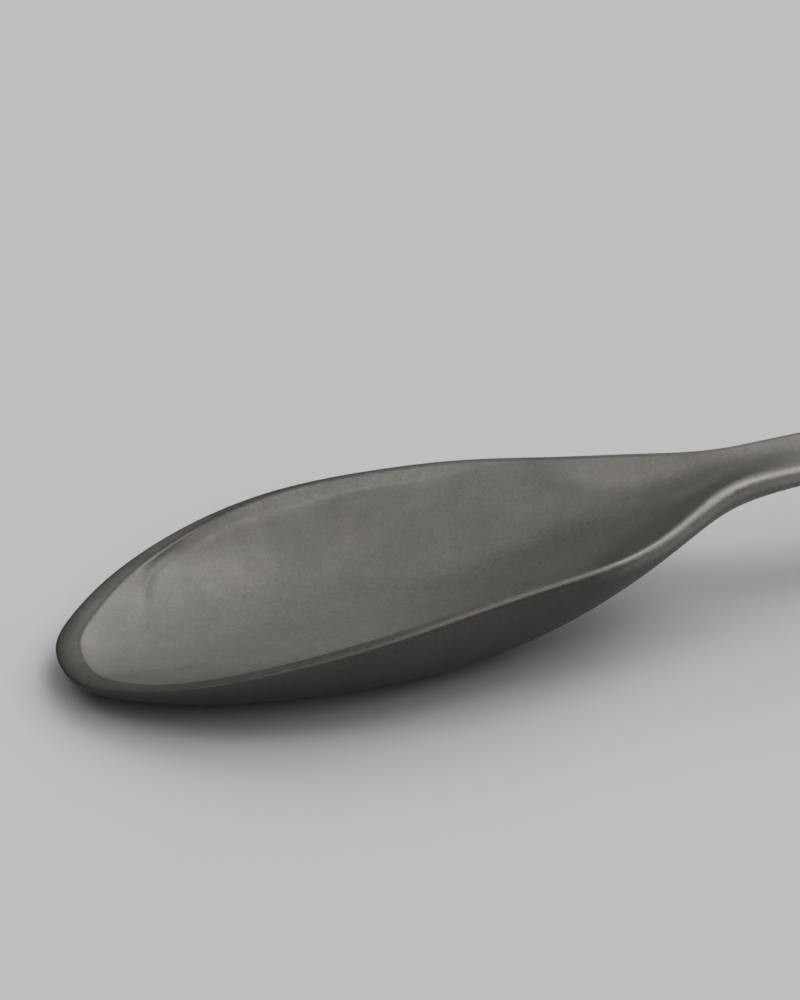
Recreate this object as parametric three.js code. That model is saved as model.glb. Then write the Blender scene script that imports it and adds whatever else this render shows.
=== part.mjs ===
import * as THREE from 'three';
import { mergeVertices } from 'three/addons/utils/BufferGeometryUtils.js';

// A table spoon made from one forged blank of grey metal: bowl, neck and handle are one piece.
// Lengths are in millimetres. The spoon lies along X with its tip towards -X, the middle of its
// length is at x = 0, and it rests on the plane z = 0 on the bowl and on the end of the handle.

// Sizes in plan
const OVERALL_LENGTH = 205;
const BOWL_LENGTH = 71.4;
const BOWL_WIDTH = 36;
const NECK_WIDTH = 8.2;
const HANDLE_END_WIDTH = 15;
const HANDLE_END_CURVE = 7;

// Thickness of the metal in the bowl, how much the top of the handle is crowned, and over which
// shares of its length the crown grows
const BOWL_WALL = 1.9;
const HANDLE_CROWN = 0.16;
const CROWN_GROWS = [0.1, 0.35];

// The rim: a band that is wide at the tip and narrows to the rounded edge of the handle, with a
// little extra where the neck bends. It rounds over at its outer side.
const RIM_WIDTH_AT_TIP = 2.6;
const RIM_WIDTH_AT_HANDLE = 0.75;
const RIM_FADE_LENGTH = 18;
const RIM_EXTRA_AT_NECK = 0.4;
const RIM_EXTRA_REACH = 9;
const RIM_ROUND_POWER_AT_TIP = 4.5;
const RIM_ROUND_POWER_AT_HANDLE = 2.1;

// How much the rim leans into the bowl: share of the bowl's length, slope
const RIM_SLOPES = [
  [0, 0.04],
  [0.08, 0.18],
  [0.4, 0.05],
];

// Height of the rounding at the rim's outer side: share of the bowl's length, height
const RIM_ROUND_HEIGHTS = [
  [0.1, 0.4],
  [0.6, 0.6],
  [0.95, 1.3],
];

// The spot that wears flat where the bowl touches the table, as a depth taken off the round
const FLAT_DEPTH = 0.1;

// Plan of the bowl from the tip to its widest point: share of length, share of half width
const BOWL_FRONT = [
  [0.0118, 0.275],
  [0.049, 0.48],
  [0.118, 0.708],
  [0.235, 0.914],
  [0.392, 1],
];

// Plan of the bowl from there to the neck: share of length, share of the way out from the neck
const BOWL_BACK = [
  [0.549, 0.906],
  [0.706, 0.738],
  [0.833, 0.51],
  [0.922, 0.252],
  [1, 0.045],
  [1.12, 0],
];

// Plan of the handle: share of its length, share of the way out from the neck to the end's width
const HANDLE_SIDE = [
  [0.3, 0.06],
  [0.6, 0.42],
  [0.85, 0.85],
];

// Height of the rim over the bowl: share of the bowl's length, height
const BOWL_RIM_HEIGHTS = [
  [0, 3.2],
  [0.15, 6.2],
  [0.31, 9],
  [0.49, 11],
  [0.67, 12],
  [0.83, 12.5],
  [1, 14.6],
];

// Height of the handle's upper edges: share of the handle's length, height
const HANDLE_EDGE_HEIGHTS = [
  [0.1, 15.5],
  [0.25, 16.6],
  [0.45, 14.6],
  [0.7, 8.6],
  [0.88, 3.2],
  [0.96, 1.9],
  [1, 2.1],
];

// Height of the bowl's underside on the centre line: share of the bowl's length, height
const BOWL_KEEL_HEIGHTS = [
  [0.17, 0],
  [0.31, 0],
  [0.45, 0],
  [0.59, 0.3],
  [0.735, 3.4],
  [0.863, 7.8],
  [0.98, 10.5],
];

// The deepest part of the bowl, as a share of its length
const BOWL_PIVOT = 0.31;

// Thickness of the bowl on the centre line: share of its length, share of the bowl's wall
const BOWL_WALLS = [
  [0.17, 1],
  [0.31, 1],
  [0.45, 1.05],
  [0.59, 1.22],
  [0.735, 1.25],
  [0.863, 1.08],
  [0.98, 1.5],
];

// Thickness of the handle on the centre line: share of its length, thickness
const HANDLE_THICKNESSES = [
  [0.08, 3],
  [0.25, 3],
  [0.6, 2.4],
  [0.85, 2.1],
  [1, 2.1],
];

// Roundness of the hollow: share of the bowl's length, power of the curve from floor to rim
const FLOOR_POWERS = [
  [0, 3],
  [0.3, 3.5],
  [0.6, 3.5],
  [0.75, 2.9],
  [0.85, 2.3],
  [1, 2],
];

// How far the inside of the bowl rounds over into the rim: share of the bowl's length, fullness
const BOWL_SHOULDERS = [
  [0.1, 0],
  [0.3, 0.8],
  [0.6, 0.9],
  [0.75, 0.8],
  [0.85, 0.8],
  [1, 1],
];

// The band along the inside of the rim, less steep than the wall below it: share of the bowl's
// length, and its width, its slope and how softly it turns into the wall
const BAND_WIDTHS = [
  [0.16, 0],
  [0.27, 0.9],
  [0.32, 1.5],
  [0.41, 2],
  [0.56, 1.7],
  [0.78, 0],
];
const BAND_SLOPES = [
  [0.16, 0.8],
  [0.26, 0.75],
  [0.38, 0.45],
  [0.85, 0.6],
];
const BAND_SOFTNESSES = [
  [0.14, 0.03],
  [0.5, 0.06],
  [0.85, 0.3],
];

// Limits of the band: its largest share of the hollow, how far its slope runs on in widths of the
// band, and the softest turn as a share of its width
const BAND_LARGEST_SHARE = 0.8;
const BAND_RUN = 1.6;
const BAND_SOFTEST_SHARE = 0.1;

// Roundness of the underside: how flat it is, and how full
const KEEL_POWER = 3;
const KEEL_FULLNESS = 1.6;

// How far the fanned sections reach along the spoon, in lengths of the fan itself
const FAN_REACH = 2.7;

// How finely the surface is faceted
const STATIONS = 64;
const FLOOR_ROWS = 10;
const RIM_ROWS = 4;
const UNDERSIDE_ROWS = 9;
const SPINE_STEP = 0.5;

// The step along the outline that gives its direction, and the distance at which points are one
const DIRECTION_STEP = 1e-4;
const MERGE_DISTANCE = 1e-3;

const HANDLE_LENGTH = OVERALL_LENGTH - BOWL_LENGTH;

// A natural cubic spline through the points (xs, ys)
function spline(xs, ys) {
  const count = xs.length;
  const bends = new Array(count).fill(0);
  const rests = new Array(count).fill(0);
  for (let i = 1; i < count - 1; i += 1) {
    const span = xs[i + 1] - xs[i - 1];
    const share = (xs[i] - xs[i - 1]) / span;
    const pivot = share * bends[i - 1] + 2;
    const slopeAfter = (ys[i + 1] - ys[i]) / (xs[i + 1] - xs[i]);
    const slopeBefore = (ys[i] - ys[i - 1]) / (xs[i] - xs[i - 1]);
    bends[i] = (share - 1) / pivot;
    rests[i] = ((6 * (slopeAfter - slopeBefore)) / span - share * rests[i - 1]) / pivot;
  }
  for (let i = count - 2; i >= 0; i -= 1) {
    bends[i] = bends[i] * bends[i + 1] + rests[i];
  }
  return (x) => {
    let i = 0;
    while (i < count - 2 && x > xs[i + 1]) i += 1;
    const width = xs[i + 1] - xs[i];
    const b = (x - xs[i]) / width;
    const a = 1 - b;
    const cubic = (a ** 3 - a) * bends[i] + (b ** 3 - b) * bends[i + 1];
    return a * ys[i] + b * ys[i + 1] + (cubic * width ** 2) / 6;
  };
}

function splineThrough(points) {
  return spline(points.map((point) => point[0]), points.map((point) => point[1]));
}

function alongBowl(share) {
  return BOWL_LENGTH * share;
}

function alongHandle(share) {
  return BOWL_LENGTH + HANDLE_LENGTH * share;
}

// Points of half the outline from the tip to the end, measured from the tip along the spoon
function outlinePoints() {
  const bowl = BOWL_WIDTH / 2;
  const neck = NECK_WIDTH / 2;
  const end = HANDLE_END_WIDTH / 2;
  const front = BOWL_FRONT.map(([along, out]) => [alongBowl(along), bowl * out]);
  const back = BOWL_BACK.map(([along, out]) => [alongBowl(along), neck + (bowl - neck) * out]);
  const side = HANDLE_SIDE.map(([along, out]) => [alongHandle(along), neck + (end - neck) * out]);
  const round = [0, 30, 60].map((degrees) => {
    const turn = THREE.MathUtils.degToRad(degrees);
    return [OVERALL_LENGTH - HANDLE_END_CURVE * (1 - Math.sin(turn)), end * Math.cos(turn)];
  });
  return [[0, 0], ...front, ...back, ...side, ...round, [OVERALL_LENGTH, 0]];
}

// A smooth curve through half the outline, which crosses the centre line squarely at both ends
function outlineCurve() {
  const half = outlinePoints();
  const mirror = ([along, out]) => [along, -out];
  const before = half.slice(1, 4).reverse().map(mirror);
  const after = half.slice(-4, -1).reverse().map(mirror);
  const points = [...before, ...half, ...after];
  const times = [0];
  for (let i = 1; i < points.length; i += 1) {
    const gap = Math.hypot(points[i][0] - points[i - 1][0], points[i][1] - points[i - 1][1]);
    times.push(times[i - 1] + Math.sqrt(gap));
  }
  const along = spline(times, points.map((point) => point[0]));
  const out = spline(times, points.map((point) => point[1]));
  const first = times[before.length];
  const last = times[before.length + half.length - 1];
  return (share) => {
    const side = share < 0 || share > 1 ? -1 : 1;
    const time = first + (last - first) * THREE.MathUtils.pingpong(share, 1);
    return [along(time), side * out(time)];
  };
}

// Height of the rim, and then of the handle's upper edges
const rimHeight = splineThrough([
  ...BOWL_RIM_HEIGHTS.map(([share, height]) => [alongBowl(share), height]),
  ...HANDLE_EDGE_HEIGHTS.map(([share, height]) => [alongHandle(share), height]),
]);

// How far the underside lies below the rim on the centre line: the depth of the bowl, and then the
// thickness of the handle
const keelDepth = splineThrough([
  ...BOWL_KEEL_HEIGHTS.map(([share, height]) => {
    const along = alongBowl(share);
    return [along, rimHeight(along) - height + FLAT_DEPTH];
  }),
  ...HANDLE_THICKNESSES.map(([share, thickness]) => [alongHandle(share), thickness]),
]);

// How far the top lies below the rim on the centre line: the hollow of the bowl runs out at the
// neck, and the handle is slightly crowned
const floorDepth = splineThrough([
  ...BOWL_WALLS.map(([share, wall]) => {
    const along = alongBowl(share);
    return [along, keelDepth(along) - BOWL_WALL * wall];
  }),
  ...HANDLE_THICKNESSES.map(([share]) => [alongHandle(share), -HANDLE_CROWN]),
]);

// A value that eases from one point to the next along the bowl
function bowlSteps(points, along) {
  const share = along / BOWL_LENGTH;
  let total = points[0][1];
  for (let i = 1; i < points.length; i += 1) {
    const [before, from] = points[i - 1];
    const [after, to] = points[i];
    total += (to - from) * THREE.MathUtils.smoothstep(share, before, after);
  }
  return total;
}

// The lower of two heights, with the turn between them rounded
function lowerOf(a, b, softness) {
  return (a + b - Math.hypot(a - b, softness) + softness) / 2;
}

// The place on the centre line that a section starts from. Sections fan out around the deepest
// part of the bowl and around the middle of the rounded end, and are square in between.
function spineAt(along) {
  const bowlPivot = alongBowl(BOWL_PIVOT);
  const bowlReach = FAN_REACH * bowlPivot;
  const endPivot = HANDLE_END_CURVE;
  const endReach = FAN_REACH * endPivot;
  const fromEnd = OVERALL_LENGTH - along;
  let spine = along;
  if (along < bowlReach) spine += bowlPivot * (1 - along / bowlReach) ** 2;
  if (fromEnd < endReach) spine -= endPivot * (1 - fromEnd / endReach) ** 2;
  return spine;
}

// The section of the hollow, as a function of the way out from the centre line: its floor, its
// wall and the band along the rim
function hollowSection(along, span, floor, innerEdge) {
  const power = bowlSteps(FLOOR_POWERS, along);
  const shoulder = bowlSteps(BOWL_SHOULDERS, along);
  const band = Math.min(bowlSteps(BAND_WIDTHS, along), span * BAND_LARGEST_SHARE);
  const slope = bowlSteps(BAND_SLOPES, along);
  const softness = Math.min(bowlSteps(BAND_SOFTNESSES, along), band * BAND_SOFTEST_SHARE);
  const wallEnd = 1 - band / span;
  return (reach) => {
    const wallReach = reach / wallEnd;
    const rise = wallReach ** power * (1 + shoulder * (1 - wallReach));
    const wall = THREE.MathUtils.lerp(floor, innerEdge - band * slope, rise);
    const sloped = innerEdge - slope * Math.min(span * (1 - reach), BAND_RUN * band);
    return lowerOf(wall, sloped, softness);
  };
}

// The section of the handle's top: as high as the edges are at each place, and slightly crowned
function crownedSection(along, spine, innerDrop) {
  return (reach) => {
    const edgeHere = rimHeight(THREE.MathUtils.lerp(spine, along, reach));
    const fall = reach ** 2 * (2 - reach);
    return edgeHere + THREE.MathUtils.lerp(HANDLE_CROWN, -innerDrop, fall);
  };
}

// Points of the section at one place on the outline, from the top's centre line over the rim to
// the centre line of the underside, each as [along, out, height]
function sectionPoints(share, curve) {
  const [along, out] = curve(share);
  const [alongBefore, outBefore] = curve(share - DIRECTION_STEP);
  const [alongAfter, outAfter] = curve(share + DIRECTION_STEP);
  const tangent = new THREE.Vector2(alongAfter - alongBefore, outAfter - outBefore).normalize();
  const inward = (distance) => [along + tangent.y * distance, out - tangent.x * distance];

  const tipShare = Math.exp(-along / RIM_FADE_LENGTH);
  const fromTip = (atHandle, atTip) => THREE.MathUtils.lerp(atHandle, atTip, tipShare);
  const neckShare = Math.exp(-(((along - BOWL_LENGTH) / RIM_EXTRA_REACH) ** 2));
  const rim = fromTip(RIM_WIDTH_AT_HANDLE, RIM_WIDTH_AT_TIP) + RIM_EXTRA_AT_NECK * neckShare;
  const roundDrop = bowlSteps(RIM_ROUND_HEIGHTS, along);
  const roundPower = fromTip(RIM_ROUND_POWER_AT_HANDLE, RIM_ROUND_POWER_AT_TIP);
  const innerDrop = bowlSteps(RIM_SLOPES, along) * rim;
  const edge = rimHeight(along);
  const spine = Math.round(spineAt(along) / SPINE_STEP) * SPINE_STEP;
  const floor = rimHeight(spine) - floorDepth(spine);
  const keel = rimHeight(spine) - keelDepth(spine);
  const points = [];

  const [innerAlong, innerOut] = inward(rim);
  const span = Math.hypot(innerAlong - spine, innerOut);
  const hollowHeight = hollowSection(along, span, floor, edge - innerDrop);
  const crownedHeight = crownedSection(along, spine, innerDrop);
  const [crownStart, crownEnd] = CROWN_GROWS.map(alongHandle);
  const crowned = THREE.MathUtils.smoothstep(along, crownStart, crownEnd);
  for (let row = 0; row <= FLOOR_ROWS; row += 1) {
    const reach = Math.sin((Math.PI / 2) * (row / FLOOR_ROWS));
    const reachAlong = THREE.MathUtils.lerp(spine, innerAlong, reach);
    const height = THREE.MathUtils.lerp(hollowHeight(reach), crownedHeight(reach), crowned);
    points.push([reachAlong, innerOut * reach, height]);
  }

  for (let row = 1; row <= RIM_ROWS; row += 1) {
    const reach = Math.sin((Math.PI / 2) * (row / RIM_ROWS));
    const round = roundDrop * (1 - Math.sqrt(1 - reach ** roundPower));
    const [roundAlong, roundOut] = inward(rim * (1 - reach));
    points.push([roundAlong, roundOut, edge - innerDrop * (1 - reach) - round]);
  }

  for (let row = 1; row <= UNDERSIDE_ROWS; row += 1) {
    const reach = Math.cos((Math.PI / 2) * (row / UNDERSIDE_ROWS));
    const rise = 1 - (1 - reach ** KEEL_POWER) ** (1 / KEEL_FULLNESS);
    points.push([
      THREE.MathUtils.lerp(spine, along, reach),
      out * reach,
      THREE.MathUtils.lerp(keel, edge - roundDrop, rise),
    ]);
  }
  return points;
}

// The whole surface: sections all the way round the outline, joined by triangles
function spoonGeometry() {
  const curve = outlineCurve();
  const half = [];
  for (let i = 0; i <= STATIONS; i += 1) half.push(sectionPoints(i / STATIONS, curve));
  const rows = half[0].length;
  const positions = [];
  const place = ([along, out, height], side) => {
    positions.push(along - OVERALL_LENGTH / 2, side * out, Math.max(height, 0));
  };
  half.forEach((section) => section.forEach((point) => place(point, 1)));
  half.forEach((section) => section.forEach((point) => place(point, -1)));

  const rough = new THREE.BufferGeometry();
  rough.setAttribute('position', new THREE.Float32BufferAttribute(positions, 3));
  rough.setIndex(facets(rows));
  const merged = mergeVertices(rough, MERGE_DISTANCE);
  const index = merged.getIndex();
  const kept = [];
  for (let i = 0; i < index.count; i += 3) {
    const [a, b, c] = [index.getX(i), index.getX(i + 1), index.getX(i + 2)];
    if (a !== b && b !== c && c !== a) kept.push(a, b, c);
  }
  merged.setIndex(kept);
  merged.computeVertexNormals();
  return merged;
}

// Two triangles for each patch between neighbouring sections, alike on both sides of the spoon
function facets(rows) {
  const corners = [];
  const otherSide = (STATIONS + 1) * rows;
  for (let i = 0; i < STATIONS; i += 1) {
    for (let row = 0; row < rows - 1; row += 1) {
      const here = i * rows + row;
      const next = here + rows;
      corners.push(here, next, next + 1, here, next + 1, here + 1);
      const there = here + otherSide;
      const after = next + otherSide;
      corners.push(there, after + 1, after, there, there + 1, after + 1);
    }
  }
  return corners;
}

function buildSpoon() {
  const metal = new THREE.MeshStandardMaterial({ color: '#7d7b75', roughness: 0.5, metalness: 0.9 });
  const spoon = new THREE.Mesh(spoonGeometry(), metal);
  spoon.name = 'spoon';
  return spoon;
}

const model = new THREE.Group();
model.add(buildSpoon());

export default model;
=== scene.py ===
import math
from typing import NamedTuple

import bpy
import numpy as np
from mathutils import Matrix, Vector, noise


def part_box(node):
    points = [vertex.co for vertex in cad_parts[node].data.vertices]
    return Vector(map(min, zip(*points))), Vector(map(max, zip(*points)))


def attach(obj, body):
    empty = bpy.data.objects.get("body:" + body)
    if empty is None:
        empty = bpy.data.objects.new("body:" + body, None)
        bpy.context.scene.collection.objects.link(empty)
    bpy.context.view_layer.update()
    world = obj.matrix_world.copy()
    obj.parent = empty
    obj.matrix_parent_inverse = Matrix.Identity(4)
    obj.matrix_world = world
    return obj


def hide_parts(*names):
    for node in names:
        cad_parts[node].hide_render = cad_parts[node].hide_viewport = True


# A table spoon in satin grey metal, lying on a pale floor. The shape is worked out in millimetres,
# measured along the spoon from the tip of the bowl, and is turned into metres for the mesh.

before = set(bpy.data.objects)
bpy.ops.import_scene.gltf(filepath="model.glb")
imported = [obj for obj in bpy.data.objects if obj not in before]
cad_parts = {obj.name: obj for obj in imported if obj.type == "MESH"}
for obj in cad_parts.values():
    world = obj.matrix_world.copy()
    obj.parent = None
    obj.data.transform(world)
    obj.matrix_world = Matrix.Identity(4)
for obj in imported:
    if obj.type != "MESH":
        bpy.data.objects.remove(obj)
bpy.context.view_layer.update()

MM = 0.001
spoon_low, spoon_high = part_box("spoon")
OVERALL_LENGTH = (spoon_high.x - spoon_low.x) / MM
BOWL_WIDTH = (spoon_high.y - spoon_low.y) / MM

# Sizes in plan
BOWL_LENGTH = 71.4
NECK_WIDTH = 8.2
HANDLE_END_WIDTH = 15.0
HANDLE_END_CURVE = 7.0
HANDLE_LENGTH = OVERALL_LENGTH - BOWL_LENGTH

# Thickness of the metal in the bowl, how much the top of the handle is crowned, and over which
# shares of its length the crown grows
BOWL_WALL = 1.9
HANDLE_CROWN = 0.16
CROWN_GROWS = (0.1, 0.35)

# The rim: a band that is wide at the tip and narrows to the rounded edge of the handle. It leans
# a little into the bowl, and rounds over at its outer side.
RIM_WIDTH_AT_TIP = 2.6
RIM_WIDTH_AT_HANDLE = 0.75
RIM_FADE_LENGTH = 18.0
RIM_EXTRA_AT_NECK = 0.4
RIM_EXTRA_REACH = 9.0
RIM_ROUND_POWER_AT_TIP = 4.5
RIM_ROUND_POWER_AT_HANDLE = 2.1
INNER_EDGE_ROUNDING_AT_TIP = 0.15
INNER_EDGE_ROUNDING_AT_HANDLE = 0.3

# How much the rim leans into the bowl: share of the bowl's length, slope
RIM_SLOPES = [(0, 0.04), (0.08, 0.18), (0.4, 0.05)]

# Height of the rounding at the rim's outer side: share of the bowl's length, height
RIM_ROUND_HEIGHTS = [(0.1, 0.4), (0.6, 0.6), (0.95, 1.3)]

# The spot that wears flat where the bowl touches the table, as a depth taken off the round
FLAT_DEPTH = 0.1

# Plan of the bowl from the tip to its widest point: share of length, share of half width
BOWL_FRONT = [(0.0118, 0.275), (0.049, 0.48), (0.118, 0.708), (0.235, 0.914), (0.392, 1)]

# Plan of the bowl from there to the neck: share of length, share of the way out from the neck
BOWL_BACK = [(0.549, 0.906), (0.706, 0.738), (0.833, 0.51), (0.922, 0.252), (1, 0.045), (1.12, 0)]

# Plan of the handle: share of its length, share of the way out from the neck to the end's width
HANDLE_SIDE = [(0.3, 0.06), (0.6, 0.42), (0.85, 0.85)]

# Height of the rim over the bowl: share of the bowl's length, height
BOWL_RIM_HEIGHTS = [
    (0, 3.2), (0.15, 6.2), (0.31, 9), (0.49, 11), (0.67, 12), (0.83, 12.5), (1, 14.6),
]

# Height of the handle's upper edges: share of the handle's length, height
HANDLE_EDGE_HEIGHTS = [
    (0.1, 15.5), (0.25, 16.6), (0.45, 14.6), (0.7, 8.6), (0.88, 3.2), (0.96, 1.9), (1, 2.1),
]

# Height of the bowl's underside on the centre line: share of the bowl's length, height
BOWL_KEEL_HEIGHTS = [
    (0.17, 0), (0.31, 0), (0.45, 0), (0.59, 0.3), (0.735, 3.4), (0.863, 7.8), (0.98, 10.5),
]

# The deepest part of the bowl, as a share of its length
BOWL_PIVOT = 0.31

# Thickness of the bowl on the centre line: share of its length, share of the bowl's wall
BOWL_WALLS = [
    (0.17, 1), (0.31, 1), (0.45, 1.05), (0.59, 1.22), (0.735, 1.25), (0.863, 1.08), (0.98, 1.5),
]

# Thickness of the handle on the centre line: share of its length, thickness
HANDLE_THICKNESSES = [(0.08, 3), (0.25, 3), (0.6, 2.4), (0.85, 2.1), (1, 2.1)]

# Roundness of the hollow: share of the bowl's length, power of the curve from floor to rim
FLOOR_POWERS = [(0, 3), (0.3, 3.5), (0.6, 3.5), (0.75, 2.9), (0.85, 2.3), (1, 2)]

# How far the inside of the bowl rounds over into the rim: share of the bowl's length, fullness
BOWL_SHOULDERS = [(0.1, 0), (0.3, 0.8), (0.6, 0.9), (0.75, 0.8), (0.85, 0.8), (1, 1)]

# The band that runs along the inside of the rim, less steep than the wall below it: share of the
# bowl's length, width of the band, its slope, and how softly it turns into the wall
BAND_WIDTHS = [(0.16, 0), (0.27, 0.9), (0.32, 1.5), (0.41, 2), (0.56, 1.7), (0.78, 0)]
BAND_SLOPES = [(0.16, 0.8), (0.26, 0.75), (0.38, 0.45), (0.85, 0.6)]
BAND_SOFTNESSES = [(0.14, 0.03), (0.5, 0.06), (0.85, 0.3)]

# Limits of the band: its largest share of the hollow, how far its slope runs on in widths of the
# band, and the softest turn as a share of its width
BAND_LARGEST_SHARE = 0.8
BAND_RUN = 1.6
BAND_SOFTEST_SHARE = 0.1

# Roundness of the underside: how flat it is, and how full
KEEL_POWER = 3
KEEL_FULLNESS = 1.6

# How far the fanned sections reach along the spoon, in lengths of the fan itself
FAN_REACH = 2.7

# A faint groove near the tip, from the far wall down into the hollow: places along and out, its
# depth and half width, and the shares of its length where it fades in and out
GROOVE = [
    (22, 15.5), (19.7, 15), (16.5, 14), (14, 13), (12.7, 12), (11.8, 10.7), (11.3, 9), (11.1, 6.6),
]
GROOVE_DEPTH = 0.16
GROOVE_HALF_WIDTH = 0.5
GROOVE_FADES = (0, 0.4, 0.62, 1)

# A faint ridge along the far wall, below the groove: the same numbers
RIDGE = [
    (15.5, 12.8), (17, 13.5), (18.6, 14.1), (20.9, 14.7), (23.4, 15), (26, 14.9), (29, 14.8),
    (34, 14.2),
]
RIDGE_HEIGHT = 0.08
RIDGE_HALF_WIDTH = 0.32
RIDGE_FADES = (0, 0.4, 0.7, 1)

# How far from the rim both lines begin, and into how many steps each is cut
LINES_BEGIN = (0, 0.5)
LINE_STEPS = 60

# Slight unevenness of the hand-finished hollow: wavelengths and heights, and how far from the rim
# it begins
UNEVENNESS = [(16, 0.04), (7.5, 0.009)]
UNEVENNESS_BEGINS = (0.2, 2)

# How finely the surface is drawn, and the step along the outline that gives its direction
STATIONS = 380
FLOOR_ROWS = 60
INNER_EDGE_ROWS = 7
RIM_ROWS = 14
UNDERSIDE_ROWS = 36
LEAST_SPINE_STEP = 0.08
DIRECTION_STEP = 1e-4

# Where the crest of the rim is worn smoother and carries a painted highlight: share of the bowl's
# length and how much, how far out on the rim it begins, and how far it goes down
CREST_WEAR_AND_HIGHLIGHT = [(0.42, 0), (0.6, 0.1), (0.8, 0.6), (0.92, 0.1), (1.05, 0.35)]
CREST_BEGINS = (0.2, 0.6)
CREST_FADE = (0.15, 1.1)

# Below the crest the outside carries a painted sheen towards the neck: where that starts, how far
# down it begins and ends, and how much lighter it is
EDGE_START = (50, 64)
EDGE_BEGIN = (0.15, 0.5)
EDGE_END = (0.9, 2)
EDGE_SHEEN = 1.6

# Where the band along the inside of the rim carries a painted sheen, along the bowl, and the width
# over which that ends at its lower border
BAND_SHEEN_SPAN = (17, 25, 36, 52)
BAND_SHEEN_FADE = (-0.2, 0.15)

# Where the painted shade on the outside of the bowl gives way to the lighter handle, along the bowl
OUTSIDE_SHADE_END = (50, 72)

# Soft patches of painted light and painted shade in the hollow: place along and out, reach along
# and across, and lightness in the middle. They end at the inner edge of the rim.
PAINTED_LIGHT_PATCHES = [
    (35.5, 9.3, 7, 3.2, 0.78),
    (44.5, 3.2, 7, 3.5, 1.18),
    (23.9, 12.2, 1.8, 1.5, 1.12),
    (33, 14.8, 5, 0.8, 1.12),
    (61.5, 3.2, 4, 2.4, 1.2),
    (66, -5, 6, 2, 1.25),
    (51, 12.2, 8, 1.5, 0.88),
    (6.5, 6.5, 4.5, 4, 0.82),
    (16.5, 14.3, 4.5, 1, 0.72),
    (20.5, 15.9, 4, 0.9, 0.72),
]
HOLLOW_BORDER = (-0.4, -0.05)

# The flat of the rim near the tip carries a painted sheen towards its inner edge: where that ends
# along the bowl, over which part of the flat it grows, how much lighter the very tip gets, and how
# much lighter the far and near sides get, over which length from the tip
RIM_SHEEN_END = (14, 28)
RIM_SHEEN_GROWS = (-2.3, -0.4)
RIM_SHEEN_TIP_LIGHT = 1.2
RIM_SHEEN_SIDE_LIGHTS = {1: 1.75, -1: 1.2}
RIM_SHEEN_TIP_REACH = 7

# A painted sheen on the far half of the neck, tinted rosy: its border, as places along and out, the
# width over which it fades, where it starts and ends along the spoon, and how rosy it is
NECK_SHEEN_BORDER = [(54, 11), (57, 9), (62, 5), (68, 2.6), (74, 1.3), (80, 0), (100, -2)]
NECK_SHEEN_FADE = 1.1
NECK_SHEEN_SPAN = (54, 62, 86, 104)
NECK_SHEEN_ROSY = 0.8

# The groove gets a little painted shade, and the ridge a little painted highlight
GROOVE_SHADE = 0.9
RIDGE_HIGHLIGHT = 1.25

# What the metal reads at each point of the surface
SURFACE_VALUES = ("rim_distance", "inside", "crest", "shaded_outside", "band", "patch", "painted_light", "flow")

# The metal: colours of the plain metal and of its patches, and how rough it is
METAL_COLOUR = (0.185, 0.18, 0.165)
ROSY_COLOUR = (0.197, 0.184, 0.171)
GREENISH_COLOUR = (0.174, 0.172, 0.155)
ROUGHNESS = 0.5
CREST_ROUGHNESS = 0.4

# How light the painted highlight on the crest, the painted shade on the outside, and the painted
# sheens on the band and on the neck are
CREST_HIGHLIGHT = 1.65
OUTSIDE_SHADE = 0.52
BAND_SHEEN = 1.22
NECK_SHEEN_LIGHT = 1.35

# How much the layers change the lightness and the roughness, and how deep they are in millimetres
CONTRASTS = {"clouds": 0.045, "mottle": 0.035, "specks": 0.075, "grain": 0.09}
BRUSHED_CONTRAST = 0.05
CLOUD_ROUGHNESS = -0.04
SPECK_ROUGHNESS = 0.03
RUBBED_ROUGHNESS = -0.05
HEIGHTS = {"grain": 0.006, "specks": 0.014, "mottle": 0.012}
BRUSHED_HEIGHT = 0.004
RUBBED_HEIGHT = -0.0015


class Layer(NamedTuple):
    """One noise in the metal: its scale per millimetre, its detail, roughness and distortion, the
    range of it that is used, its shift and stretch, and whether it follows the rim."""

    scale: float
    detail: float
    roughness: float
    used: tuple
    distortion: float = 0.0
    shift: tuple = (0, 0, 0)
    stretch: tuple = (1, 1, 1)
    on_rim: bool = False


LAYERS = {
    "clouds": Layer(scale=0.075, detail=3, roughness=0.55, used=(0.3, 0.7), distortion=0.6),
    "mottle": Layer(scale=0.5, detail=4, roughness=0.65, used=(0.3, 0.7), shift=(9, 4, 2)),
    "specks": Layer(scale=2.1, detail=2, roughness=0.6, used=(0.3, 0.7), shift=(3, 8, 5)),
    "grain": Layer(scale=5.5, detail=1.5, roughness=0.55, used=(0.25, 0.75)),
    "brushed": Layer(
        scale=1, detail=2, roughness=0.6, used=(0.3, 0.7), stretch=(0.22, 7, 1), on_rim=True,
    ),
    "scratched": Layer(
        scale=1, detail=1, roughness=0.5, used=(0.35, 0.6), shift=(4, 7, 0),
        stretch=(0.12, 13, 1), on_rim=True,
    ),
    "rubbed": Layer(
        scale=0.9, detail=2, roughness=0.5, used=(0.6, 0.75), distortion=0.4, shift=(5, 1, 7),
        stretch=(0.5, 4.5, 1.5),
    ),
    "rosy": Layer(
        scale=0.085, detail=3, roughness=0.6, used=(0.5, 0.64), distortion=0.5, shift=(2, 13, 6),
    ),
    "greenish": Layer(
        scale=0.06, detail=2, roughness=0.5, used=(0.46, 0.68), distortion=0.4, shift=(21, 3, 1),
    ),
}

# How the scratches break up the painted highlight on the crest, and the narrower range of the
# rubbed streaks that is sunk
CREST_BREAKS = (0.7, 1.15)
RUBBED_SUNK = (0.66, 0.72)

# The floor: half its size in metres, its grey and its roughness
FLOOR_HALF_SIZE = 6.0
FLOOR_GREY = 0.55
FLOOR_ROUGHNESS = 0.9

# The camera: where it looks on the floor, from how far, and at what angles
CAMERA_TARGET = Vector((-0.05684, 0.03007, 0.0))
CAMERA_DISTANCE = 0.6
CAMERA_TURN = math.radians(17.95)
CAMERA_TILT = math.radians(27)
CAMERA_LENS = 200.24
CAMERA_SENSOR_WIDTH = 36
CAMERA_CLIP_START = 0.01

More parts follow.
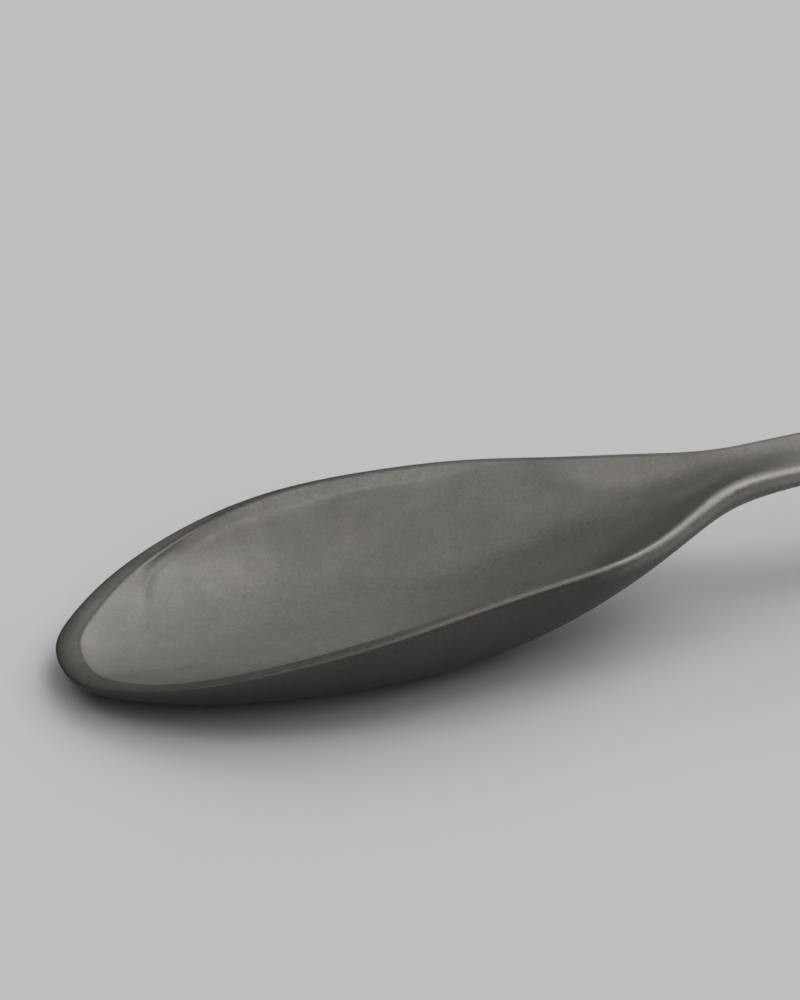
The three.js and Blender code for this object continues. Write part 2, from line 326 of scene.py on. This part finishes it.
# The light: soft lamps far away, each with its azimuth, elevation and energy
LAMP_SPREAD = math.radians(40)
WORLD_STRENGTH = 0.05
LAMPS = [
    ("window", 42, 38, 0.9),
    ("window_top", 0, 63, 0.66),
    ("window_right", 0, 33, 0.44),
    ("window_low", 45, 12, 0.3),
    ("behind", 90, 38, 0.2),
    ("left_top", 180, 63, 0.5),
    ("camera_side", 270, 38, 0.52),
    ("camera_top", 300, 63, 0.44),
]


def natural_spline(points):
    """A natural cubic spline through the points, as a function of an array."""
    xs, ys = (np.array(values, float) for values in zip(*points))
    count = len(xs)
    bends = np.zeros(count)
    rests = np.zeros(count)
    for i in range(1, count - 1):
        span = xs[i + 1] - xs[i - 1]
        share = (xs[i] - xs[i - 1]) / span
        pivot = share * bends[i - 1] + 2
        slope_after = (ys[i + 1] - ys[i]) / (xs[i + 1] - xs[i])
        slope_before = (ys[i] - ys[i - 1]) / (xs[i] - xs[i - 1])
        bends[i] = (share - 1) / pivot
        rests[i] = (6 * (slope_after - slope_before) / span - share * rests[i - 1]) / pivot
    for i in range(count - 2, -1, -1):
        bends[i] = bends[i] * bends[i + 1] + rests[i]

    def value(x):
        x = np.asarray(x, float)
        i = np.clip(np.searchsorted(xs, x) - 1, 0, count - 2)
        width = xs[i + 1] - xs[i]
        b = (x - xs[i]) / width
        a = 1 - b
        cubic = (a**3 - a) * bends[i] + (b**3 - b) * bends[i + 1]
        return a * ys[i] + b * ys[i + 1] + cubic * width**2 / 6

    return value


def mix(a, b, share):
    return a + (b - a) * share


def smoothstep(x, low, high):
    t = np.clip((np.asarray(x, float) - low) / (high - low), 0, 1)
    return t * t * (3 - 2 * t)


def lower_of(a, b, softness):
    """The lower of two heights, with the turn between them rounded."""
    return (a + b - np.sqrt((a - b) ** 2 + softness**2) + softness) / 2


def bowl_steps(points, along):
    """A value that eases from one point to the next along the bowl."""
    shares, values = zip(*points)
    share = along / BOWL_LENGTH
    total = np.full_like(share, float(values[0]))
    for i in range(len(points) - 1):
        total = total + (values[i + 1] - values[i]) * smoothstep(share, shares[i], shares[i + 1])
    return total


def along_bowl(share):
    return BOWL_LENGTH * share


def along_handle(share):
    return BOWL_LENGTH + HANDLE_LENGTH * share


def outline_points():
    """Points of half the outline from the tip to the end of the handle."""
    bowl, neck, end = BOWL_WIDTH / 2, NECK_WIDTH / 2, HANDLE_END_WIDTH / 2
    points = [(0, 0)]
    points += [(along_bowl(along), bowl * out) for along, out in BOWL_FRONT]
    points += [(along_bowl(along), mix(neck, bowl, out)) for along, out in BOWL_BACK]
    points += [(along_handle(along), mix(neck, end, out)) for along, out in HANDLE_SIDE]
    for turn in (0, math.pi / 6, math.pi / 3):
        along = OVERALL_LENGTH - HANDLE_END_CURVE * (1 - math.sin(turn))
        points.append((along, end * math.cos(turn)))
    points.append((OVERALL_LENGTH, 0))
    return points


def outline_curve():
    """A smooth curve through half the outline, square to the centre line at both ends."""
    half = outline_points()
    before = [(along, -out) for along, out in reversed(half[1:4])]
    after = [(along, -out) for along, out in reversed(half[-4:-1])]
    points = before + half + after
    times = [0.0]
    for a, b in zip(points[:-1], points[1:]):
        times.append(times[-1] + math.sqrt(math.dist(a, b)))
    along = natural_spline([(t, p[0]) for t, p in zip(times, points)])
    out = natural_spline([(t, p[1]) for t, p in zip(times, points)])
    first = times[len(before)]
    last = times[len(before) + len(half) - 1]

    def place(share):
        folded = 1 - np.abs(1 - np.abs(share))
        side = np.where((share < 0) | (share > 1), -1, 1)
        time = mix(first, last, folded)
        return along(time), side * out(time)

    return place


def outline_stations():
    """The stations around half the outline: places along and out, and the outline's direction."""
    place = outline_curve()
    share = np.linspace(0, 1, STATIONS + 1)
    along, out = place(share)
    out[0] = out[-1] = 0
    along_before, out_before = place(share - DIRECTION_STEP)
    along_after, out_after = place(share + DIRECTION_STEP)
    step = np.hypot(along_after - along_before, out_after - out_before)
    tangent_along = (along_after - along_before) / step
    tangent_out = (out_after - out_before) / step
    tangent_along[0] = tangent_along[-1] = 0
    return along, out, tangent_along, tangent_out


# Height of the rim, and then of the handle's upper edges
rim_height = natural_spline(
    [(along_bowl(share), height) for share, height in BOWL_RIM_HEIGHTS]
    + [(along_handle(share), height) for share, height in HANDLE_EDGE_HEIGHTS]
)


def keel_depth_points():
    points = []
    for share, height in BOWL_KEEL_HEIGHTS:
        along = along_bowl(share)
        points.append((along, float(rim_height(along)) - height + FLAT_DEPTH))
    points += [(along_handle(share), thickness) for share, thickness in HANDLE_THICKNESSES]
    return points


# How far the underside lies below the rim on the centre line: the depth of the bowl, and then the
# thickness of the handle
keel_depth = natural_spline(keel_depth_points())


def floor_depth_points():
    points = []
    for share, wall in BOWL_WALLS:
        along = along_bowl(share)
        points.append((along, float(keel_depth(along)) - BOWL_WALL * wall))
    points += [(along_handle(share), -HANDLE_CROWN) for share, _ in HANDLE_THICKNESSES]
    return points


# How far the top lies below the rim on the centre line: the hollow of the bowl runs out at the
# neck, and the handle is slightly crowned
floor_depth = natural_spline(floor_depth_points())


def spine_at(along):
    """The place on the centre line that each section starts from. Sections fan out around the
    deepest part of the bowl and around the middle of the rounded end, and are square in between."""
    bowl_pivot = along_bowl(BOWL_PIVOT)
    bowl_reach = FAN_REACH * bowl_pivot
    end_reach = FAN_REACH * HANDLE_END_CURVE
    from_end = OVERALL_LENGTH - along
    fan = bowl_pivot * (1 - np.minimum(along / bowl_reach, 1)) ** 2
    end_fan = HANDLE_END_CURVE * (1 - np.minimum(from_end / end_reach, 1)) ** 2
    return along + fan - end_fan


def top_section(along, spine, span, band, edge, inner_drop):
    """The height of the top, as a function of the way out from the centre line to the rim. The
    bowl has a floor, a wall and a band. The handle is as high as its edges, and crowned."""
    floor = rim_height(spine) - floor_depth(spine)
    inner_edge = edge - inner_drop
    power = bowl_steps(FLOOR_POWERS, along)
    shoulder = bowl_steps(BOWL_SHOULDERS, along)
    slope = bowl_steps(BAND_SLOPES, along)
    softness = np.minimum(bowl_steps(BAND_SOFTNESSES, along), band * BAND_SOFTEST_SHARE)
    wall_end = 1 - band / span
    crowned = smoothstep(along, *(along_handle(share) for share in CROWN_GROWS))

    def height(reach):
        wall_reach = reach / wall_end
        rise = wall_reach**power * (1 + shoulder * (1 - wall_reach))
        wall = mix(floor, inner_edge - band * slope, rise)
        sloped = inner_edge - slope * np.minimum(span * (1 - reach), BAND_RUN * band)
        edge_here = rim_height(mix(spine, along, reach))
        crown = edge_here + mix(HANDLE_CROWN, -inner_drop, reach**2 * (2 - reach))
        return mix(lower_of(wall, sloped, softness), crown, crowned)

    return height


def half_sections():
    """The sections of one half, as arrays of station by row: place along and out, height, distance
    from the inner edge of the rim, and how much each point is on the inside and on the crest.
    With them comes what belongs to each whole section."""
    along, out, tangent_along, tangent_out = outline_stations()
    spine = spine_at(along)
    edge = rim_height(along)

    def inward(distance):
        return along + tangent_out * distance, out - tangent_along * distance

    tip_share = np.exp(-along / RIM_FADE_LENGTH)
    neck_share = np.exp(-(((along - BOWL_LENGTH) / RIM_EXTRA_REACH) ** 2))
    rim = mix(RIM_WIDTH_AT_HANDLE, RIM_WIDTH_AT_TIP, tip_share) + RIM_EXTRA_AT_NECK * neck_share
    inner_drop = bowl_steps(RIM_SLOPES, along) * rim
    round_drop = bowl_steps(RIM_ROUND_HEIGHTS, along)
    round_power = mix(RIM_ROUND_POWER_AT_HANDLE, RIM_ROUND_POWER_AT_TIP, tip_share)
    rounding = mix(INNER_EDGE_ROUNDING_AT_HANDLE, INNER_EDGE_ROUNDING_AT_TIP, tip_share)
    inner_along, inner_out = inward(rim)
    span = np.hypot(inner_along - spine, inner_out)
    band = np.minimum(bowl_steps(BAND_WIDTHS, along), span * BAND_LARGEST_SHARE)
    top_height = top_section(along, spine, span, band, edge, inner_drop)

    def top_point(reach):
        return mix(spine, inner_along, reach), inner_out * reach, top_height(reach)

    def rim_drop(share):
        return inner_drop * (1 - share) + round_drop * (1 - np.sqrt(1 - share**round_power))

    names = ("along", "out", "height", "rim_distance", "inside", "crest")
    rows = []

    def add(point, distance, inside, crest=0):
        rows.append([values + 0 * along for values in (*point, distance, inside, crest)])

    # The hollow of the bowl or the top of the handle, out to where it rounds over into the rim
    last_reach = 1 - rounding / span
    for row in range(FLOOR_ROWS + 1):
        reach = last_reach * math.sin(math.pi / 2 * row / FLOOR_ROWS)
        add(top_point(reach), span * (1 - reach), 1)

    # The rounded inner edge of the rim
    first_share = rounding / rim
    start = top_point(last_reach)
    corner = (inner_along, inner_out, edge - inner_drop)
    end = (*inward(rim - rounding), edge - rim_drop(first_share))
    for row in range(1, INNER_EDGE_ROWS + 1):
        t = row / INNER_EDGE_ROWS
        point = [mix(mix(a, b, t), mix(b, c, t), t) for a, b, c in zip(start, corner, end)]
        add(point, 0, 1 - t)

    # The flat of the rim, and round its outer side
    first_turn = np.arcsin(first_share)
    for row in range(1, RIM_ROWS + 1):
        share = np.minimum(np.sin(mix(first_turn, math.pi / 2, row / RIM_ROWS)), 1)
        point = (*inward(rim * (1 - share)), edge - rim_drop(share))
        add(point, -rim * share, 0, smoothstep(share, *CREST_BEGINS))

    # The underside, in to the centre line
    wall_top = edge - round_drop
    keel = rim_height(spine) - keel_depth(spine)
    width = np.hypot(along - spine, out)
    for row in range(1, UNDERSIDE_ROWS + 1):
        reach = math.cos(math.pi / 2 * row / UNDERSIDE_ROWS)
        rise = 1 - (1 - reach**KEEL_POWER) ** (1 / KEEL_FULLNESS)
        drop = (wall_top - keel) * (1 - rise)
        point = (mix(spine, along, reach), out * reach, wall_top - drop)
        add(point, -rim - drop - width * (1 - reach), 0, 1)

    sections = {name: np.array(values).T for name, values in zip(names, zip(*rows))}
    steps = np.hypot(np.diff(along), np.diff(out))
    flow = np.concatenate([[0], np.cumsum(steps)])
    per_section = {"along": along, "spine": spine, "edge": edge, "band": band, "flow": flow}
    return sections, per_section


def wear_and_light_parts(sections, per_section):
    """How much each point belongs to the worn crest with its painted highlight, to the painted
    shade on the outside, and to the painted sheens on the band along the inside of the rim and on
    the strip below the crest."""
    along, edge, band = (per_section[name][:, None] for name in ("along", "edge", "band"))
    inside = sections["inside"]
    below = edge - sections["height"]
    past_band = sections["rim_distance"] - band
    sheen_strip = smoothstep(along, *EDGE_START) * (1 - inside) * (1 - smoothstep(below, *EDGE_END))
    on_span = smoothstep(along, *BAND_SHEEN_SPAN[:2]) * (1 - smoothstep(along, *BAND_SHEEN_SPAN[2:]))
    wear_and_light = bowl_steps(CREST_WEAR_AND_HIGHLIGHT, along)
    return {
        "crest": sections["crest"] * wear_and_light * (1 - smoothstep(below, *CREST_FADE)),
        "shaded_outside": (1 - inside) * (1 - smoothstep(along, *OUTSIDE_SHADE_END)) * (1 - sheen_strip),
        "band": inside * on_span * (1 - smoothstep(past_band, *BAND_SHEEN_FADE)),
        "sheen_strip": sheen_strip * smoothstep(below, *EDGE_BEGIN),
    }


def line_relief(along, out, line, half_width, fades):
    """How much each place belongs to a smooth line, which fades out towards both of its ends."""
    steps = np.linspace(0, len(line) - 1, LINE_STEPS)
    line_along = natural_spline([(i, place[0]) for i, place in enumerate(line)])(steps)
    line_out = natural_spline([(i, place[1]) for i, place in enumerate(line)])(steps)
    gaps = np.hypot(along[..., None] - line_along, out[..., None] - line_out)
    nearest = gaps.argmin(axis=-1)
    gap = gaps.min(axis=-1)
    share = steps[nearest] / steps[-1]
    fade = smoothstep(share, *fades[:2]) * (1 - smoothstep(share, *fades[2:]))
    return fade * np.exp(-((gap / half_width) ** 2))


def soft_patches(along, out):
    """How much lighter or darker the patches of painted light and shade make each place."""
    total = 1
    for place_along, place_out, reach_along, reach_out, light in PAINTED_LIGHT_PATCHES:
        gap = ((along - place_along) / reach_along) ** 2 + ((out - place_out) / reach_out) ** 2
        total = total * (1 + (light - 1) * np.exp(-gap))
    return total


def rim_sheen(along, distance, inside, in_hollow, side):
    """How much lighter a painted sheen makes the rim's flat near the tip, and half as much at the
    hollow.
    """
    from_tip = smoothstep(along, 0, RIM_SHEEN_TIP_REACH)
    light = mix(RIM_SHEEN_TIP_LIGHT, RIM_SHEEN_SIDE_LIGHTS[side], from_tip)
    share = (1 - smoothstep(along, *RIM_SHEEN_END)) * smoothstep(distance, *RIM_SHEEN_GROWS)
    return 1 + (light - 1) * share * (1 - inside) * (1 - in_hollow / 2)


def neck_patch(along, out):
    """How much each place belongs to the painted sheen on the far half of the neck."""
    border = natural_spline(NECK_SHEEN_BORDER)(along)
    across = smoothstep(out - border, -NECK_SHEEN_FADE, NECK_SHEEN_FADE)
    start = smoothstep(along, *NECK_SHEEN_SPAN[:2])
    return across * start * (1 - smoothstep(along, *NECK_SHEEN_SPAN[2:]))


def unevenness(along, out):
    """A gentle wave in two directions, the same each time."""
    total = np.zeros_like(along)
    for wavelength, size in UNEVENNESS:
        for i, place in np.ndenumerate(along):
            total[i] += size * noise.noise(Vector((place, out[i], wavelength)) / wavelength)
    return total


def finished_half(sections, per_section, side):
    """One half of the surface: the place of each point, and what the metal reads there. The far
    half is side 1 and the near half side -1. The groove and the ridge are on the far half."""
    along, out = sections["along"], side * sections["out"]
    distance, inside = sections["rim_distance"], sections["inside"]
    height = np.maximum(sections["height"], 0)
    wear_and_light = wear_and_light_parts(sections, per_section)
    in_hollow = smoothstep(distance, *HOLLOW_BORDER)
    # Painted light and shade: hollow patches, a sheen on the rim near the tip and below the crest
    painted_light = mix(1, soft_patches(along, out), in_hollow)
    painted_light *= rim_sheen(along, distance, inside, in_hollow, side)
    painted_light *= mix(1, EDGE_SHEEN, wear_and_light["sheen_strip"])

    top = (slice(None), slice(0, FLOOR_ROWS))
    wave = unevenness(along[top], out[top])
    height[top] += wave * smoothstep(distance[top], *UNEVENNESS_BEGINS)
    if side == 1:
        groove = line_relief(along[top], out[top], GROOVE, GROOVE_HALF_WIDTH, GROOVE_FADES)
        ridge = line_relief(along[top], out[top], RIDGE, RIDGE_HALF_WIDTH, RIDGE_FADES)
        relief = RIDGE_HEIGHT * ridge - GROOVE_DEPTH * groove
        height[top] += relief * smoothstep(distance[top], *LINES_BEGIN)
        # Painted shade in the groove and a painted highlight on the ridge
        painted_light[top] *= mix(1, GROOVE_SHADE, groove) * mix(1, RIDGE_HIGHLIGHT, ridge)

    return {
        "along": along,
        "out": out,
        "height": height,
        "rim_distance": distance,
        "inside": inside,
        "crest": wear_and_light["crest"],
        "shaded_outside": wear_and_light["shaded_outside"],
        "band": wear_and_light["band"],
        "patch": neck_patch(along, out) * inside,
        "painted_light": painted_light,
        "flow": np.broadcast_to(per_section["flow"][:, None], along.shape),
    }


def numbered_points(stations, rows, spine):
    """Which point of the mesh stands at each station and row of each half. Both halves share the
    points on the centre line, where points closer than the least step are one."""
    points = []
    index = {side: np.zeros((stations, rows), int) for side in (1, -1)}

    def number(side, station, row):
        points.append((side, station, row))
        return len(points) - 1

    for row in range(rows):
        on_spine = row in (0, rows - 1)
        kept = None
        for i in range(stations):
            if on_spine and kept is not None and abs(spine[i] - spine[kept]) < LEAST_SPINE_STEP:
                index[1][i, row] = index[-1][i, row] = index[1][kept, row]
                continue
            kept = i
            index[1][i, row] = number(1, i, row)
            shared = on_spine or i in (0, stations - 1)
            index[-1][i, row] = index[1][i, row] if shared else number(-1, i, row)
    return points, index


def joined_faces(index):
    """Faces between neighbouring stations and rows, without corners that fall together."""
    faces = []
    for side, grid in index.items():
        stations, rows = grid.shape
        for i in range(stations - 1):
            for row in range(rows - 1):
                corners = [grid[i, row], grid[i, row + 1], grid[i + 1, row + 1], grid[i + 1, row]]
                if side == 1:
                    corners.reverse()
                corners = [int(c) for k, c in enumerate(corners) if c != corners[k - 1]]
                if len(corners) > 2:
                    faces.append(corners)
    return faces


def build_spoon():
    sections, per_section = half_sections()
    halves = {side: finished_half(sections, per_section, side) for side in (1, -1)}
    points, index = numbered_points(*sections["along"].shape, per_section["spine"])

    def values(name):
        return np.array([halves[side][name][i, row] for side, i, row in points])

    places = np.stack([values("along") - OVERALL_LENGTH / 2, values("out"), values("height")])
    mesh = bpy.data.meshes.new("satin_spoon")
    mesh.from_pydata((places.T * MM).tolist(), [], joined_faces(index))
    for name in SURFACE_VALUES:
        attribute = mesh.attributes.new(name, "FLOAT", "POINT")
        attribute.data.foreach_set("value", values(name))
    mesh.shade_smooth()
    spoon = bpy.data.objects.new("satin_spoon", mesh)
    bpy.context.scene.collection.objects.link(spoon)
    return spoon


class Nodes:
    """Short ways to add the nodes of one material."""

    def __init__(self, name):
        self.material = bpy.data.materials.new(name)
        self.material.use_nodes = True
        self.tree = self.material.node_tree
        self.shader = self.tree.nodes["Principled BSDF"]

    def add(self, kind, settings=None, **inputs):
        """Adds a node. An input is named as in the node, or _0, _1 and so on by its number."""
        node = self.tree.nodes.new("ShaderNode" + kind)
        for name, value in (settings or {}).items():
            setattr(node, name, value)
        for name, value in inputs.items():
            self.put(node.inputs[int(name[1:]) if name[1:].isdigit() else name], value)
        return node

    def put(self, socket, value):
        """Links a socket to another one, or sets it to a constant."""
        if isinstance(value, bpy.types.NodeSocket):
            self.tree.links.new(value, socket)
        else:
            socket.default_value = value

    def attribute(self, name):
        node = self.add("Attribute", {"attribute_name": name, "attribute_type": "GEOMETRY"})
        return node.outputs["Fac"]

    def math(self, operation, a, b=0.0, c=0.0):
        return self.add("Math", {"operation": operation}, _0=a, _1=b, _2=c).outputs[0]

    def lighter(self, light, share, amount):
        """Multiplies a lightness by an amount, as far as the share says."""
        return self.math("MULTIPLY", light, self.math("MULTIPLY_ADD", share, amount - 1, 1))

    def noise(self, vector, layer):
        moved = self.add("Mapping", Vector=vector, Location=layer.shift, Scale=layer.stretch)
        node = self.add(
            "TexNoise", Vector=moved.outputs[0], Scale=layer.scale, Detail=layer.detail,
            Roughness=layer.roughness, Distortion=layer.distortion,
        )
        return node.outputs["Fac"]

    def span(self, value, low, high, to_low=0.0, to_high=1.0):
        """Moves a value from one range to another, with soft ends."""
        node = self.add(
            "MapRange", {"interpolation_type": "SMOOTHSTEP"},
            _0=value, _1=low, _2=high, _3=to_low, _4=to_high,
        )
        return node.outputs[0]

    def blend(self, factor, a, b):
        node = self.add("Mix", {"data_type": "RGBA"}, _0=factor, _6=a, _7=b)
        return node.outputs[2]


def satin_metal():
    n = Nodes("satin_metal")
    value = {name: n.attribute(name) for name in SURFACE_VALUES}
    inside, crest, patch = value["inside"], value["crest"], value["patch"]
    outside = n.math("SUBTRACT", 1, inside)
    place = n.add("TexCoord").outputs["Object"]
    place = n.add("VectorMath", {"operation": "SCALE"}, _0=place, Scale=1 / MM).outputs[0]
    along_rim = n.add("CombineXYZ", X=value["flow"], Y=value["rim_distance"], Z=inside).outputs[0]
    noises = {
        name: n.noise(along_rim if layer.on_rim else place, layer)
        for name, layer in LAYERS.items()
    }

    def used(name, to_low=0.0, to_high=1.0):
        return n.span(noises[name], *LAYERS[name].used, to_low, to_high)

    # Tints: warm grey metal with faint rosy and greenish patches, and a rosy painted sheen on the
    # neck
    rosy = n.math("MAXIMUM", used("rosy"), n.math("MULTIPLY", patch, NECK_SHEEN_ROSY))
    greenish = n.math("MULTIPLY", used("greenish"), n.math("SUBTRACT", 1, patch))
    colour = n.blend(rosy, (*METAL_COLOUR, 1), (*ROSY_COLOUR, 1))
    colour = n.blend(greenish, colour, (*GREENISH_COLOUR, 1))

    # Lightness: clouds, mottle, specks and grain, then painted shade on the outside, painted
    # sheens, painted light and shade, and a painted highlight on the worn crest
    light = 1
    for name, contrast in CONTRASTS.items():
        light = n.math("MULTIPLY_ADD", used(name, -1, 1), contrast, light)
    lines = n.math("MULTIPLY", outside, used("brushed", -1, 1))
    light = n.math("MULTIPLY_ADD", lines, BRUSHED_CONTRAST, light)
    # Painted shade on the outside and the rim of the bowl
    light = n.lighter(light, value["shaded_outside"], OUTSIDE_SHADE)
    # Painted sheen on the band along the inside of the rim
    light = n.lighter(light, value["band"], BAND_SHEEN)
    # Painted sheen on the far half of the neck
    light = n.lighter(light, patch, NECK_SHEEN_LIGHT)
    # Painted light and shade in the hollow, on the rim near the tip, below the crest and on the
    # lines
    light = n.math("MULTIPLY", light, value["painted_light"])
    # Painted highlight along the worn crest, broken up by the scratches
    crest_highlight_lines = n.math("MULTIPLY", crest, used("scratched", *CREST_BREAKS))
    light = n.lighter(light, crest_highlight_lines, CREST_HIGHLIGHT)
    colour = n.add("VectorMath", {"operation": "SCALE"}, _0=colour, Scale=light).outputs[0]
    n.put(n.shader.inputs["Base Color"], colour)

    # Roughness: satin, a little smoother where it is rubbed and along the crest
    rough = n.math("MULTIPLY_ADD", used("clouds", -1, 1), CLOUD_ROUGHNESS, ROUGHNESS)
    rough = n.math("MULTIPLY_ADD", used("specks", -1, 1), SPECK_ROUGHNESS, rough)
    rough = n.math("MULTIPLY_ADD", used("rubbed"), RUBBED_ROUGHNESS, rough)
    rough = n.math("MULTIPLY_ADD", crest, CREST_ROUGHNESS - ROUGHNESS, rough)
    n.put(n.shader.inputs["Roughness"], rough)
    n.shader.inputs["Metallic"].default_value = 1

    # Height, in millimetres: tumbled grain, shallow dimples, brushed lines and rubbed streaks
    height = 0
    for name, size in HEIGHTS.items():
        height = n.math("MULTIPLY_ADD", noises[name], size, height)
    lines = n.math("MULTIPLY", outside, noises["brushed"])
    height = n.math("MULTIPLY_ADD", lines, BRUSHED_HEIGHT, height)
    sunk = n.span(noises["rubbed"], *RUBBED_SUNK)
    height = n.math("MULTIPLY_ADD", sunk, RUBBED_HEIGHT, height)
    bump = n.add("Bump", Strength=1, Distance=MM, Height=height)
    n.put(n.shader.inputs["Normal"], bump.outputs["Normal"])
    return n.material


def pale_floor():
    n = Nodes("pale_floor")
    n.shader.inputs["Base Color"].default_value = (FLOOR_GREY, FLOOR_GREY, FLOOR_GREY, 1)
    n.shader.inputs["Roughness"].default_value = FLOOR_ROUGHNESS
    return n.material


def make_floor():
    half = FLOOR_HALF_SIZE
    corners = [(-half, -half, 0), (half, -half, 0), (half, half, 0), (-half, half, 0)]
    mesh = bpy.data.meshes.new("floor")
    mesh.from_pydata(corners, [], [(0, 1, 2, 3)])
    floor = bpy.data.objects.new("floor", mesh)
    floor.data.materials.append(pale_floor())
    bpy.context.scene.collection.objects.link(floor)


def soft_lamp(name, azimuth, elevation, energy):
    """A distant soft lamp: azimuth from the handle's side towards the far side, and elevation."""
    data = bpy.data.lights.new(name, "SUN")
    data.angle = LAMP_SPREAD
    data.energy = energy
    lamp = bpy.data.objects.new(name, data)
    turn, rise = math.radians(azimuth), math.radians(elevation)
    direction = Vector((
        math.cos(turn) * math.cos(rise),
        math.sin(turn) * math.cos(rise),
        math.sin(rise),
    ))
    lamp.rotation_mode = "QUATERNION"
    lamp.rotation_quaternion = direction.to_track_quat("Z", "Y")
    bpy.context.scene.collection.objects.link(lamp)


def light_studio():
    world = bpy.data.worlds.new("studio")
    world.use_nodes = True
    background = world.node_tree.nodes["Background"]
    background.inputs["Color"].default_value = (1, 1, 1, 1)
    background.inputs["Strength"].default_value = WORLD_STRENGTH
    bpy.context.scene.world = world
    for name, azimuth, elevation, energy in LAMPS:
        soft_lamp(name, azimuth, elevation, energy)


def make_camera():
    forward = Vector((
        math.sin(CAMERA_TURN) * math.cos(CAMERA_TILT),
        math.cos(CAMERA_TURN) * math.cos(CAMERA_TILT),
        -math.sin(CAMERA_TILT),
    ))
    data = bpy.data.cameras.new("camera")
    data.lens = CAMERA_LENS
    data.sensor_width = CAMERA_SENSOR_WIDTH
    data.clip_start = CAMERA_CLIP_START
    camera = bpy.data.objects.new("camera", data)
    camera.location = CAMERA_TARGET - forward * CAMERA_DISTANCE
    camera.rotation_mode = "QUATERNION"
    camera.rotation_quaternion = forward.to_track_quat("-Z", "Y")
    bpy.context.scene.collection.objects.link(camera)
    bpy.context.scene.camera = camera


make_camera()
light_studio()
make_floor()

spoon = build_spoon()
spoon.data.materials.append(satin_metal())
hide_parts("spoon")
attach(spoon, "root")

bpy.context.scene.view_settings.view_transform = "Standard"
